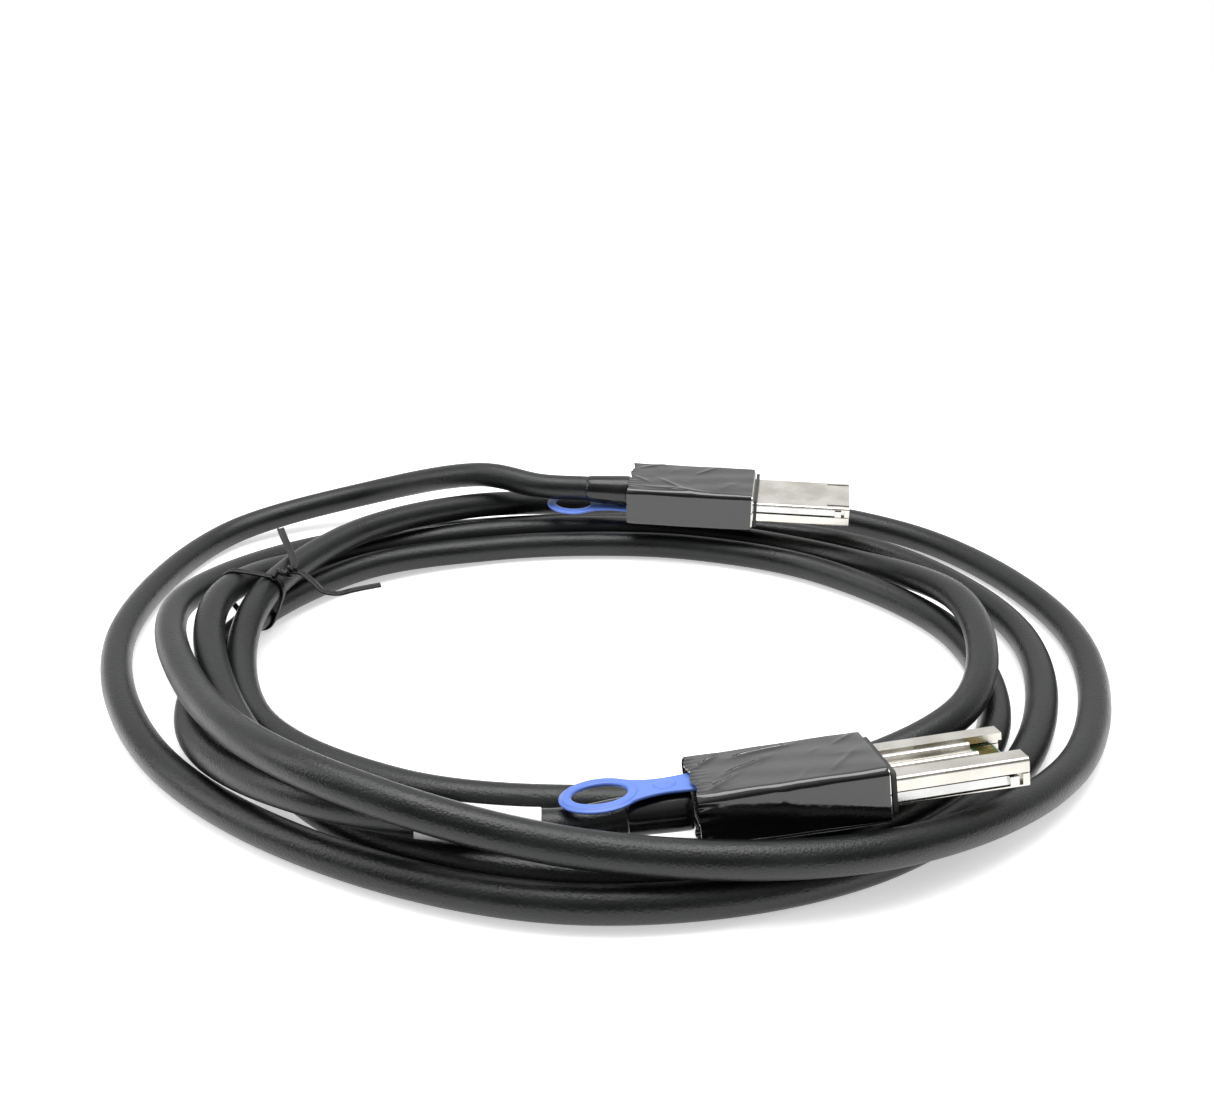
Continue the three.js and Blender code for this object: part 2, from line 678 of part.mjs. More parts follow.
function twistTie() {
  const reach = cableWidth / 2 + faceGap + tieThickness / 2 + tieSlack;
  const strands = tieTurns.map((turn) => {
    const point = tubePoint(tieAzimuth + 360 * turn);
    return [Math.hypot(point.x, point.y), point.z];
  });
  const loopPoint = (degrees) => {
    const angle = THREE.MathUtils.degToRad(degrees);
    const [x, y] = [Math.cos(angle), Math.sin(angle)];
    const [farX, farY] = strands.reduce((best, strand) => (
      strand[0] * x + strand[1] * y > best[0] * x + best[1] * y ? strand : best));
    return [farX + reach * x, farY + reach * y, 0];
  };
  const loopPoints = [];
  for (let degrees = 0; degrees <= 360; degrees += 15) {
    loopPoints.push(loopPoint(knotAngle - degrees));
  }
  const [knotX, knotY] = loopPoint(knotAngle);
  const fromKnot = ([x, y, z]) => [knotX + x, knotY + y, z];
  const knot = new THREE.BoxGeometry(...knotSize, 8, 1, 1);
  const corner = new THREE.Vector3();
  const twistAxis = new THREE.Vector3(1, 0, 0);
  for (let index = 0; index < knot.attributes.position.count; index += 1) {
    corner.fromBufferAttribute(knot.attributes.position, index);
    corner.applyAxisAngle(twistAxis, corner.x * knotTwist);
    knot.attributes.position.setXYZ(index, corner.x, corner.y, corner.z);
  }
  knot.rotateZ(knotLean);
  knot.translate(...fromKnot(knotFrom));
  const strips = [loopPoints, longTail.map(fromKnot), bentTail.map(fromKnot)].map(tieStrip);
  const mesh = asMesh('twist_tie', 'tie', joined([...strips, asSolid(knot)]));
  mesh.rotation.set(Math.PI / 2, 0, THREE.MathUtils.degToRad(tieAzimuth), 'ZYX');
  return mesh;
}

const sasCable = new THREE.Group();
sasCable.add(frontConnector, backConnector);
for (let index = 0; index <= cuts.length; index += 1) {
  sasCable.add(cableTurn(index));
}
sasCable.add(labelSleeve(), twistTie());
sasCable.position.set(...boxShift);

export default sasCable;
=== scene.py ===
import json
import math

import bmesh
import bpy
import numpy as np
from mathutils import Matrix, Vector


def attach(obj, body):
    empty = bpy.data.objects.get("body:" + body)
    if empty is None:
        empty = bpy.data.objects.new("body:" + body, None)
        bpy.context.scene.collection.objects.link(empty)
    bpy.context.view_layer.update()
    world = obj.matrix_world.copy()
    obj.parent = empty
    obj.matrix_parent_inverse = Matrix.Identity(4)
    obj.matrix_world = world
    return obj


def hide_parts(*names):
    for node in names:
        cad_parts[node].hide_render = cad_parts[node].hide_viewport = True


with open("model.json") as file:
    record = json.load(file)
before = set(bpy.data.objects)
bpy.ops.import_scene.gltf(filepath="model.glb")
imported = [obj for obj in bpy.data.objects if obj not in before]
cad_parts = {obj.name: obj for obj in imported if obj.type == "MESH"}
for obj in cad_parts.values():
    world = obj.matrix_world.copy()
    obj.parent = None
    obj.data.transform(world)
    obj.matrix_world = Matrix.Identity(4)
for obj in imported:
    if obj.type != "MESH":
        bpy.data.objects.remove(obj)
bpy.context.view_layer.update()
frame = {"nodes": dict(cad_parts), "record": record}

MM = 0.001

# Places shared with the part: millimetres and degrees
BOX_SHIFT = np.array([-0.306, 10.746, -0.1])
PLUG_PLACES = {
    "front": dict(at=(63.2, -93.4, 17.4), yaw=7.7, pitch=4.9, roll=-10.0),
    "back": dict(at=(53.0, 61.0, 21.1), yaw=-9.0, pitch=0.0, roll=185.0),
}
CABLE_WIDTH = 8.2
CABLE_DROP = 0.7
CABLE_START = -55.1
STRAIGHT_RUN = 16.0
CABLE_STEP = 2.6
CABLE_SIDES = 28

# The cable's route, one row a turn: azimuth in degrees, distance from the coil's centre, height
TURNS = [
    [(115, 88.5, 22.8), (131, 122.5, 11.1), (150, 142, 4.9), (180, 134, 4.7), (210, 123.5, 4.2),
     (240, 117.7, 4.5), (270, 120.8, 5), (300, 123.4, 4.3), (330, 124.5, 4.2), (360, 123, 4.6),
     (390, 110.5, 4.3), (420, 90, 4.3)],
    [(450, 80.5, 4.2), (480, 85.5, 4.5), (510, 105.5, 6.8), (540, 116, 13.8), (570, 111, 17.6),
     (600, 116.5, 23.9), (630, 117.5, 16), (660, 128.5, 11.6), (690, 136, 5.2), (720, 138, 4.5),
     (750, 130.5, 4.2), (780, 112.5, 4.7)],
    [(810, 94, 7.1), (840, 84, 14.1), (870, 87.5, 15.9), (900, 95, 12.7), (930, 97, 5.6),
     (960, 89.5, 4.4), (990, 85, 4.4), (1020, 92, 5), (1050, 108, 11.4), (1080, 106, 13.8),
     (1110, 95, 5.5), (1140, 79, 5.5)],
    [(1170, 72, 6.6), (1200, 77, 6.8), (1230, 94, 7.2), (1260, 104.5, 15.7), (1290, 103.5, 11.2),
     (1320, 107.4, 5), (1350, 111.6, 4.3), (1380, 113.6, 4.4), (1410, 115, 4.6), (1440, 104, 4.2),
     (1470, 83.5, 4.6), (1500, 69, 4.4)],
    [(1530, 63.5, 4.4), (1560, 68.5, 4.4), (1590, 83.5, 5.6), (1620, 100, 5.4), (1650, 112.5, 6.6),
     (1680, 115.3, 15.9)],
]


def plug_turn(place):
    """The plug's rotation: roll about its length, then pitch nose up, then yaw."""
    yaw, pitch, roll = (math.radians(place[key]) for key in ("yaw", "pitch", "roll"))
    cos, sin = math.cos, math.sin
    about_z = np.array([[cos(yaw), -sin(yaw), 0], [sin(yaw), cos(yaw), 0], [0, 0, 1]])
    about_y = np.array([[cos(pitch), 0, -sin(pitch)], [0, 1, 0], [sin(pitch), 0, cos(pitch)]])
    about_x = np.array([[1, 0, 0], [0, cos(roll), -sin(roll)], [0, sin(roll), cos(roll)]])
    return about_z @ about_y @ about_x


def plug_to_row(plug, points):
    """Points in a plug's own millimetres, placed in the row frame, in metres."""
    place = PLUG_PLACES[plug]
    points = np.asarray(points, float)
    return (points @ plug_turn(place).T + place["at"] + BOX_SHIFT) * MM


# Curves and sweeps

def smooth_line(points, steps):
    """A centripetal Catmull-Rom curve through the points, with that many steps between two of them."""
    points = np.asarray(points, float)
    ends = [2 * points[0] - points[1], 2 * points[-1] - points[-2]]
    padded = np.concatenate([ends[:1], points, ends[1:]])
    before, start, stop, after = padded[:-3], padded[1:-2], padded[2:-1], padded[3:]

    def knot(one, other):
        return np.maximum(((one - other) ** 2).sum(1) ** 0.25, 1e-6)[:, None]

    first, middle, last = knot(before, start), knot(start, stop), knot(stop, after)
    leave = ((start - before) / first - (stop - before) / (first + middle)
             + (stop - start) / middle) * middle
    arrive = ((stop - start) / middle - (after - start) / (middle + last)
              + (after - stop) / last) * middle
    t = (np.arange(steps) / steps)[None, :, None]
    start, stop, leave, arrive = (array[:, None] for array in (start, stop, leave, arrive))
    line = (start + leave * t + (-3 * start + 3 * stop - 2 * leave - arrive) * t ** 2
            + (2 * start - 2 * stop + leave + arrive) * t ** 3)
    return np.concatenate([line.reshape(-1, 3), points[-1:]])


def even_steps(line, spacing):
    """The same line with its points spread evenly, about spacing apart."""
    lengths = np.concatenate([[0], np.linalg.norm(np.diff(line, axis=0), axis=1).cumsum()])
    count = max(int(round(lengths[-1] / spacing)), 2)
    marks = np.linspace(0, lengths[-1], count + 1)
    return np.stack([np.interp(marks, lengths, line[:, axis]) for axis in range(3)], axis=1)


def carried_frames(line, side):
    """Side and upper directions along a line, carried from point to point without twist."""
    along = np.gradient(line, axis=0)
    along /= np.linalg.norm(along, axis=1)[:, None]
    side = np.asarray(side, float)
    sides = []
    for direction in along:
        side = side - direction * (side @ direction)
        side = side / np.linalg.norm(side)
        sides.append(side)
    sides = np.array(sides)
    return sides, np.cross(along, sides)


def grid_mesh(name, rings, closed_along=False, caps=True):
    """A surface through rings of points: rings[i, j] joins rings[i + 1, j] and rings[i, j + 1],
    and every ring closes on itself. Open ends get a flat cap."""
    count, width = rings.shape[:2]
    index = np.arange(count * width).reshape(count, width)
    rows = count if closed_along else count - 1
    here = index[np.arange(rows)]
    there = index[(np.arange(rows) + 1) % count]
    faces = np.stack([here, np.roll(here, -1, 1), np.roll(there, -1, 1), there], axis=2)
    faces = [list(face) for face in faces.reshape(-1, 4)]
    if caps and not closed_along:
        faces += [list(index[0][::-1]), list(index[-1])]
    mesh = bpy.data.meshes.new(name)
    mesh.from_pydata(rings.reshape(-1, 3).tolist(), [], faces)
    mesh.validate()
    piece = bpy.data.objects.new(name, mesh)
    bpy.context.scene.collection.objects.link(piece)
    return piece


def smooth(piece, angle=35):
    """Smooth shading, with edges sharper than the angle kept."""
    piece.data.polygons.foreach_set("use_smooth", [True] * len(piece.data.polygons))
    with bpy.context.temp_override(object=piece, selected_editable_objects=[piece]):
        bpy.context.view_layer.objects.active = piece
        piece.data.set_sharp_from_angle(angle=math.radians(angle))


def outward(piece):
    """Turns the faces outward where the sweep ran the other way round."""
    work = bmesh.new()
    work.from_mesh(piece.data)
    bmesh.ops.recalc_face_normals(work, faces=work.faces)
    work.to_mesh(piece.data)
    work.free()


def swept(name, line, section, side=(0, 0, 1)):
    """A section drawn in side and upper directions, swept along a line."""
    sides, uppers = carried_frames(line, side)
    section = np.asarray(section, float)
    rings = (line[:, None] + sides[:, None] * section[None, :, :1]
             + uppers[:, None] * section[None, :, 1:])
    return grid_mesh(name, rings)


def circle(radius, sides):
    """Points on a circle, evenly spaced."""
    angles = np.arange(sides) * 2 * math.pi / sides
    return np.stack([radius * np.cos(angles), radius * np.sin(angles)], axis=1)


def rounded_section(width, height, corner, per_corner=6):
    """A rectangle with round corners: a quarter circle about each corner's own centre, in order."""
    quarter = np.arange(4)[:, None]
    angle = (quarter + np.linspace(0, 1, per_corner)) * math.pi / 2
    centre_x = (width / 2 - corner) * np.where(quarter % 3 == 0, 1, -1)
    centre_y = (height / 2 - corner) * np.where(quarter < 2, 1, -1)
    points = [centre_x + corner * np.cos(angle), centre_y + corner * np.sin(angle)]
    return np.stack(points, axis=2).reshape(-1, 2)


def declare(piece, body, node, slot):
    """Hangs a piece under its body's empty, hides the CAD node it stands for and gives it its material."""
    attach(piece, body)
    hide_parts(node)
    paint(piece, slot)


def plug_rings(name, plug, rings, angle, closed_along=False):
    """A finished surface through rings given in a plug's own millimetres."""
    rings = np.asarray(rings, float)
    piece = grid_mesh(name, plug_to_row(plug, rings.reshape(-1, 3)).reshape(rings.shape), closed_along)
    outward(piece)
    smooth(piece, angle)
    return piece


# Camera first, then the cord

def make_camera():
    """Height, tilt and focal length were found from the photo with the cable's real width."""
    photo_width = 1214
    focal_pixels = 1270
    tilt_down = 23.5
    eye = np.array([5.0, -326.0, 172.2]) + BOX_SHIFT
    data = bpy.data.cameras.new("camera")
    data.sensor_width = 36
    data.lens = data.sensor_width * focal_pixels / photo_width
    camera = bpy.data.objects.new("camera", data)
    camera.location = eye * MM
    camera.rotation_euler = (math.radians(90 - tilt_down), 0, 0)
    bpy.context.scene.collection.objects.link(camera)
    bpy.context.scene.camera = camera


def route_line():
    """The centreline in the row frame, in metres."""
    start = [plug_to_row("back", (CABLE_START - along, 0, -CABLE_DROP)) for along in (0, STRAIGHT_RUN)]
    stop = [plug_to_row("front", (CABLE_START - along, 0, -CABLE_DROP)) for along in (STRAIGHT_RUN, 0)]
    coil = []
    for turn in TURNS:
        for azimuth, radius, height in turn:
            angle = math.radians(azimuth)
            place = np.array([radius * math.cos(angle), radius * math.sin(angle), height])
            coil.append((place + BOX_SHIFT) * MM)
    return smooth_line(start + coil + stop, 24)


make_camera()
cable_line = even_steps(route_line(), CABLE_STEP * MM)


def make_cable():
    """A round tube along the centreline."""
    cable = swept("cable", cable_line, circle(CABLE_WIDTH / 2 * MM, CABLE_SIDES))
    outward(cable)
    smooth(cable, 60)
    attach(cable, "root")
    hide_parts(*[f"cable_turn_{turn}" for turn in range(1, 6)])
    return cable


# Materials

def surface_grain():
    """One shared effect: a broad mask, a roughness that follows it and a fine bump."""
    group = bpy.data.node_groups.new("surface_grain", "ShaderNodeTree")
    for name, kind in (("Vector", "NodeSocketVector"), ("Broad", "NodeSocketFloat"),
                       ("Fine", "NodeSocketFloat"), ("Low", "NodeSocketFloat"),
                       ("High", "NodeSocketFloat"), ("Height", "NodeSocketFloat")):
        group.interface.new_socket(name, in_out="INPUT", socket_type=kind)
    for name, kind in (("Mask", "NodeSocketFloat"), ("Roughness", "NodeSocketFloat"),
                       ("Normal", "NodeSocketVector")):
        group.interface.new_socket(name, in_out="OUTPUT", socket_type=kind)
    given = group.nodes.new("NodeGroupInput")
    made = group.nodes.new("NodeGroupOutput")
    broad = group.nodes.new("ShaderNodeTexNoise")
    broad.inputs["Detail"].default_value = 4.0
    fine = group.nodes.new("ShaderNodeTexNoise")
    fine.inputs["Detail"].default_value = 3.0
    spread = group.nodes.new("ShaderNodeMapRange")
    spread.inputs["From Min"].default_value = 0.35
    spread.inputs["From Max"].default_value = 0.65
    rough = group.nodes.new("ShaderNodeMapRange")
    bump = group.nodes.new("ShaderNodeBump")
    bump.inputs["Distance"].default_value = 0.0002
    for source, output, target, socket in (
            (given, "Vector", broad, "Vector"), (given, "Vector", fine, "Vector"),
            (given, "Broad", broad, "Scale"), (given, "Fine", fine, "Scale"),
            (broad, 0, spread, "Value"), (spread, "Result", made, "Mask"),
            (spread, "Result", rough, "Value"), (given, "Low", rough, "To Min"),
            (given, "High", rough, "To Max"), (rough, "Result", made, "Roughness"),
            (fine, 0, bump, "Height"), (given, "Height", bump, "Strength"),
            (bump, "Normal", made, "Normal")):
        group.links.new(source.outputs[output], target.inputs[socket])
    return group


GRAIN = surface_grain()


def grained(name, dark, light, low, high, broad, fine, height, metallic=0.0, specular=0.5, coat=0.0):
    """A principled surface whose colour, roughness and relief come from the shared grain."""
    material = bpy.data.materials.new(name)
    material.use_nodes = True
    tree = material.node_tree
    surface = tree.nodes["Principled BSDF"]
    surface.inputs["Metallic"].default_value = metallic
    surface.inputs["Specular IOR Level"].default_value = specular
    surface.inputs["Coat Weight"].default_value = coat
    surface.inputs["Coat Roughness"].default_value = 0.05
    place = tree.nodes.new("ShaderNodeTexCoord")
    grain = tree.nodes.new("ShaderNodeGroup")
    grain.node_tree = GRAIN
    for socket, value in (("Broad", broad), ("Fine", fine), ("Low", low), ("High", high),
                          ("Height", height)):
        grain.inputs[socket].default_value = value
    mix = tree.nodes.new("ShaderNodeMix")
    mix.data_type = "RGBA"
    mix.inputs[6].default_value = (*dark, 1)
    mix.inputs[7].default_value = (*light, 1)
    tree.links.new(place.outputs["Object"], grain.inputs["Vector"])
    tree.links.new(grain.outputs["Mask"], mix.inputs[0])
    tree.links.new(mix.outputs[2], surface.inputs["Base Color"])
    tree.links.new(grain.outputs["Roughness"], surface.inputs["Roughness"])
    tree.links.new(grain.outputs["Normal"], surface.inputs["Normal"])
    return material


MATERIALS = {
    "jacket": grained("cable_jacket", (0.003, 0.0035, 0.0035), (0.008, 0.009, 0.009), 0.26, 0.38,
                      45, 1900, 0.65, specular=0.45),
    "film": grained("black_film", (0.003, 0.003, 0.003), (0.007, 0.007, 0.008), 0.07, 0.16,
                    60, 260, 0.5, coat=0.7),
    "nickel": grained("satin_nickel", (0.56, 0.54, 0.49), (0.72, 0.70, 0.65), 0.2, 0.32,
                      120, 1400, 0.08, metallic=1.0),
    "spring": grained("spring_steel", (0.5, 0.5, 0.49), (0.66, 0.66, 0.65), 0.2, 0.3,
                      120, 1400, 0.08, metallic=1.0),
    "crimp": grained("crimp_brass", (0.55, 0.44, 0.2), (0.72, 0.6, 0.32), 0.25, 0.4,
                     120, 1400, 0.08, metallic=1.0),
    "gold": grained("pad_gold", (0.75, 0.52, 0.2), (0.86, 0.63, 0.28), 0.18, 0.28,
                    200, 1400, 0.05, metallic=1.0),
    "gasket": grained("conductive_rubber", (0.03, 0.03, 0.03), (0.06, 0.06, 0.06), 0.6, 0.8,
                      80, 640, 0.3),
    "card": grained("card_green", (0.02, 0.09, 0.04), (0.04, 0.15, 0.07), 0.3, 0.45, 80, 640, 0.1),
    "tab": grained("tab_blue", (0.095, 0.185, 0.60), (0.12, 0.225, 0.68), 0.28, 0.4, 60, 900, 0.15),
    "boot": grained("boot_black", (0.004, 0.004, 0.005), (0.009, 0.009, 0.010), 0.16, 0.3,
                    80, 640, 0.15),
    "wire": grained("wire_insulation", (0.2, 0.26, 0.33), (0.28, 0.34, 0.42), 0.4, 0.5, 80, 640, 0.1),
    "label": grained("label_film", (0.74, 0.74, 0.73), (0.84, 0.84, 0.83), 0.4, 0.55, 80, 640, 0.1),
    "tie": grained("tie_plastic", (0.003, 0.003, 0.003), (0.007, 0.007, 0.008), 0.2, 0.35,
                   80, 640, 0.2, specular=0.3),
}


def paint(piece, slot):
    piece.data.materials.clear()
    piece.data.materials.append(MATERIALS[slot])


# Pieces on the plugs

FILM_BACK = -40.5
FILM_FRONT = -0.4
FILM_HALF_WIDTH = 11.1
FILM_HALF_HEIGHT = 6.3


def crease(x, y, start, stop, width, height):
    """A crisp fold: a rounded ridge of that height along the line from start to stop."""
    run = np.subtract(stop, start)
    share = np.clip(((x - start[0]) * run[0] + (y - start[1]) * run[1]) / (run @ run), 0, 1)
    away = np.hypot(x - start[0] - share * run[0], y - start[1] - share * run[1])
    fade = np.sin(np.pi * np.clip(share, 0.04, 0.96)) ** 0.7
    return height * fade / (1 + (away / width) ** 2)


LONG_CREASES = {
    "front": [
        ((-31, 5.5), (-15, 8.5), 0.7, 0.55), ((-35, -3), (-21, 4.5), 0.6, 0.4),
        ((-38, -9), (-30, -2), 0.6, 0.45), ((-12, -8), (-3, 2), 0.6, 0.3),
        ((-40, 2), (-32, 9), 0.5, 0.5), ((-8, 5), (-1, 10), 0.5, 0.35),
    ],
    "back": [
        ((-37, 7), (-14, 9.5), 0.6, 0.45), ((-31, 1), (-22, 8.5), 0.5, 0.4),
        ((-39, -6), (-31, -10), 0.6, 0.4), ((-20, -3), (-12, -10), 0.5, 0.35),
        ((-40, 0), (-34, 4), 0.5, 0.35),
    ],
}
CREASE_SEED = {"front": 11, "back": 5}


def crinkle(plug, face, x, y, reach):
    """Shallow random folds on one face, with the long ones on the broad faces. Their places come
    from a fixed seed, and they are closer together at the rear end."""
    rng = np.random.default_rng(CREASE_SEED[plug] + face)
    lift = np.zeros(np.broadcast(x, y).shape)
    broad = reach > FILM_HALF_HEIGHT
    for _ in range(16 if broad else 7):
        middle = np.array([FILM_BACK + 40 * rng.random() ** 1.5, reach * rng.uniform(-1, 1)])
        heading = rng.uniform(-1.1, 1.1)
        half = rng.uniform(1.5, 5.5) * np.array([math.cos(heading), math.sin(heading)])
        lift += crease(x, y, middle - half, middle + half, rng.uniform(0.4, 1.3), rng.uniform(0.04, 0.15))
    lift += 0.1 * (1 + np.sin(0.29 * x + 0.37 * y + face) * np.sin(0.47 * y - 0.13 * x + 2 * face))
    if broad:
        for start, stop, width, height in LONG_CREASES[plug]:
            lift += crease(x, y, start, stop, width, height)
    return lift


def make_film(plug):
    """A closed shell round the housing: a rounded rectangle drawn along the plug, pulled in a little
    at both ends, with folds on its four faces and small gathers at its rear edge."""
    wall = 0.3
    corners = rounded_section(2 * FILM_HALF_WIDTH, 2 * FILM_HALF_HEIGHT, 1.5, 7)
    section = []
    for here, there in zip(corners, np.roll(corners, -1, 0)):
        pieces = max(1, int(np.linalg.norm(there - here) / 0.33))
        section += [here + (there - here) * part / pieces for part in range(pieces)]
    y, z = np.array(section).T[:, None]
    x = np.linspace(FILM_BACK, FILM_FRONT, 130)[:, None]
    rear = np.exp((FILM_BACK - x) / 1.6)
    pull = 1 - 0.02 * rear - 0.014 * np.exp((x - FILM_FRONT) / 0.7)
    broad = np.clip((np.abs(z) - FILM_HALF_HEIGHT + 0.8) / 0.8, 0, 1)
    flank = np.clip((np.abs(y) - FILM_HALF_WIDTH + 0.8) / 0.8, 0, 1)
    up = np.where(z > 0, crinkle(plug, 1, x, y, FILM_HALF_WIDTH), crinkle(plug, 2, x, y, FILM_HALF_WIDTH))
    out = np.where(y > 0, crinkle(plug, 3, x, z, FILM_HALF_HEIGHT), crinkle(plug, 4, x, z, FILM_HALF_HEIGHT))
    gather = 0.25 * rear * np.abs(np.sin(1.9 * y + 1.3 * z))
    height = z * pull + np.sign(z) * broad * (0.8 * up + gather)
    side = y * pull + np.sign(y) * flank * (0.7 * out + gather)
    edge = x + 0.35 * rear * np.sin(0.8 * y + 0.5) + 0 * z
    outer = np.stack([edge, side, height], axis=2)
    inward = 1 - wall / np.hypot(side, height)
    inner = np.stack([edge, side * inward, height * inward], axis=2)
    rings = np.concatenate([outer, inner[::-1]])
    film = plug_rings(f"{plug}_film", plug, rings, 60, closed_along=True)
    declare(film, "root", f"{plug}_film_wrap", "film")


BOOT_PROFILE = np.array([(-40.8, 4.2), (-41.0, 4.75), (-41.6, 4.95), (-44, 4.9), (-47, 4.75),
                         (-50, 4.6), (-53, 4.45), (-54.4, 4.35), (-54.8, 4.2)])


def make_boot(plug):
    """A turned boot: a circle round the cable's axis at each place along it, with the profile's
    radius there, so that it tapers towards the cable and its ends are rounded."""
    along, radius = BOOT_PROFILE.T[:, :, None]
    y, z = (radius[None] * circle(1, 40).T[:, None]) - np.array([0, CABLE_DROP])[:, None, None]
    rings = np.stack([along + 0 * y, y, z], axis=2)
    boot = plug_rings(f"{plug}_boot", plug, rings, 40)
    declare(boot, "root", f"{plug}_strain_relief", "boot")


STRAP_LEVEL = 4.9
RING_CENTRE = -60.0
RING_HALF_LENGTH = 7.4
RING_HALF_WIDTH = 6.5
RING_BAND = 1.35
RING_BAND_EXTRA = 0.35
# Across the ring's band, as a share of its half width outwards and millimetres upwards
RING_SECTION = np.array([(1, -0.3), (1, 0), (0.9, 0.14), (0.62, 0.16), (0.52, 0.42), (0.38, 0.56),
                         (-0.55, 0.56), (-0.8, 0.48), (-0.95, 0.3), (-1, 0), (-0.95, -0.4),
                         (-0.8, -0.52), (0.85, -0.52)])
# The strap's half width at places along the plug
STRAP_PLAN = [(-8.9, 4.1, 0), (-20, 4.1, 0), (-38, 4.1, 0), (-41, 4.0, 0), (-43, 3.8, 0),
              (-46, 3.6, 0), (-49, 3.9, 0), (-52, 4.7, 0), (-54, 5.8, 0)]
OVAL_CENTRE = -46.1
OVAL_HALF_LENGTH = 2.65
OVAL_HALF_WIDTH = 2.15


def make_ring(plug):
    """The finger ring: its band's section carried round an ellipse, along the ellipse's own outward
    direction, and a little wider at the two sides than at the ends."""
    angle = np.linspace(0, 2 * math.pi, 96, endpoint=False)[:, None]
    out_x, out_y = np.cos(angle) / RING_HALF_LENGTH, np.sin(angle) / RING_HALF_WIDTH
    length = np.hypot(out_x, out_y)
    across, up = RING_SECTION.T[:, None]
    reach = across * (RING_BAND + RING_BAND_EXTRA * np.sin(angle) ** 2)
    rings = np.stack([
        RING_CENTRE + RING_HALF_LENGTH * np.cos(angle) + out_x / length * reach,
        RING_HALF_WIDTH * np.sin(angle) + out_y / length * reach,
        STRAP_LEVEL + 0.15 + up + 0 * angle,
    ], axis=2)
    return plug_rings(f"{plug}_tab_ring", plug, rings, 60, closed_along=True)


def make_strap(plug):
    """The strap from inside the shell to the ring: a rounded flat bar with the plan's half width,
    which narrows behind the shell and opens out into the ring."""
    thickness, corner, per_corner = 0.9, 0.4, 5
    plan = smooth_line(STRAP_PLAN, 6)
    unit = rounded_section(2, thickness, corner, per_corner)
    side = np.sign(unit[:, 0])
    inset = unit[:, 0] - side
    y = side * plan[:, 1:2] + inset
    rings = np.stack([plan[:, :1] + 0 * y, y, STRAP_LEVEL + unit[:, 1] + 0 * y], axis=2)
    return plug_rings(f"{plug}_tab_strap", plug, rings, 50)


def make_oval(plug):
    """The small oval boss on the neck, a low dome: ellipses that shrink with the root of a cosine
    while they rise with a sine."""
    share = np.linspace(0, 1, 8)[:, None]
    size = np.sqrt(np.clip(np.cos(share * math.pi / 2), 0.0004, 1))
    round_y, round_x = circle(1, 40)[:, ::-1].T[:, None]
    rings = np.stack([
        OVAL_CENTRE + OVAL_HALF_LENGTH * size * round_x,
        OVAL_HALF_WIDTH * size * round_y,
        STRAP_LEVEL + 0.35 + 0.45 * np.sin(share * math.pi / 2) + 0 * round_x,
    ], axis=2)
    return plug_rings(f"{plug}_tab_oval", plug, rings, 50)


def make_tab(plug):
    for piece in (make_ring(plug), make_strap(plug), make_oval(plug)):
        declare(piece, f"{plug}_release", f"{plug}_pull_tab", "tab")


CARD_BACK = -17.5
CARD_FRONT = 28.5
CARD_HALF_WIDTH = 6.5
CARD_HALF_THICKNESS = 0.5
PAD_COUNT = 13
PAD_PITCH = 0.8
PAD_HALF_WIDTH = 0.25
PAD_LENGTH = 4.0
PAD_INSET = 0.5
PAD_HEIGHT = 0.12


def make_boxes(name, plug, lows, highs):
    """Plain boxes between pairs of corners, as one mesh."""
    lows, highs = np.array(lows, float), np.array(highs, float)
    high_side = np.array([(0, 0, 0), (0, 1, 0), (0, 1, 1), (0, 0, 1),
                          (1, 0, 0), (1, 1, 0), (1, 1, 1), (1, 0, 1)])
    points = np.where(high_side, highs[:, None], lows[:, None]).reshape(-1, 3)
    sides = np.array([(0, 3, 2, 1), (4, 5, 6, 7), (0, 1, 5, 4), (1, 2, 6, 5), (2, 3, 7, 6), (3, 0, 4, 7)])
    faces = (sides + 8 * np.arange(len(lows))[:, None, None]).reshape(-1, 4)
    mesh = bpy.data.meshes.new(name)
    mesh.from_pydata(plug_to_row(plug, points).tolist(), [], faces.tolist())
    piece = bpy.data.objects.new(name, mesh)
    bpy.context.scene.collection.objects.link(piece)
    outward(piece)
    return piece


def make_card(plug):
    """The card's board, and its plated pads in a row on both faces, each a plain box."""
    board = make_boxes(f"{plug}_card_board", plug,
                       [(CARD_BACK, -CARD_HALF_WIDTH, -CARD_HALF_THICKNESS)],
                       [(CARD_FRONT, CARD_HALF_WIDTH, CARD_HALF_THICKNESS)])
    declare(board, "root", f"{plug}_paddle_card", "card")
    y = (np.arange(PAD_COUNT) - (PAD_COUNT - 1) / 2) * PAD_PITCH
    y, face = np.tile(y, 2), np.repeat([-1, 1], PAD_COUNT)
    front = CARD_FRONT - PAD_INSET
    middle = face * (CARD_HALF_THICKNESS + PAD_HEIGHT / 2)
    lows = np.stack([0 * y + front - PAD_LENGTH, y - PAD_HALF_WIDTH, middle - PAD_HEIGHT / 2], axis=1)
    highs = np.stack([0 * y + front, y + PAD_HALF_WIDTH, middle + PAD_HEIGHT / 2], axis=1)
    pads = make_boxes(f"{plug}_card_pads", plug, lows, highs)
    declare(pads, "root", f"{plug}_paddle_card", "gold")


# Pieces on the cable

LABEL_START_AZIMUTH = 1690.6
LABEL_LENGTH = 27.0
LABEL_INNER = 4.14
LABEL_OUTER = 4.30
LABEL_LAP = 0.10
LABEL_LAP_FROM, LABEL_LAP_TO = 0.9, 1.9


def cable_azimuths():
    place = cable_line / MM - BOX_SHIFT
    return np.degrees(np.unwrap(np.arctan2(place[:, 1], place[:, 0])))


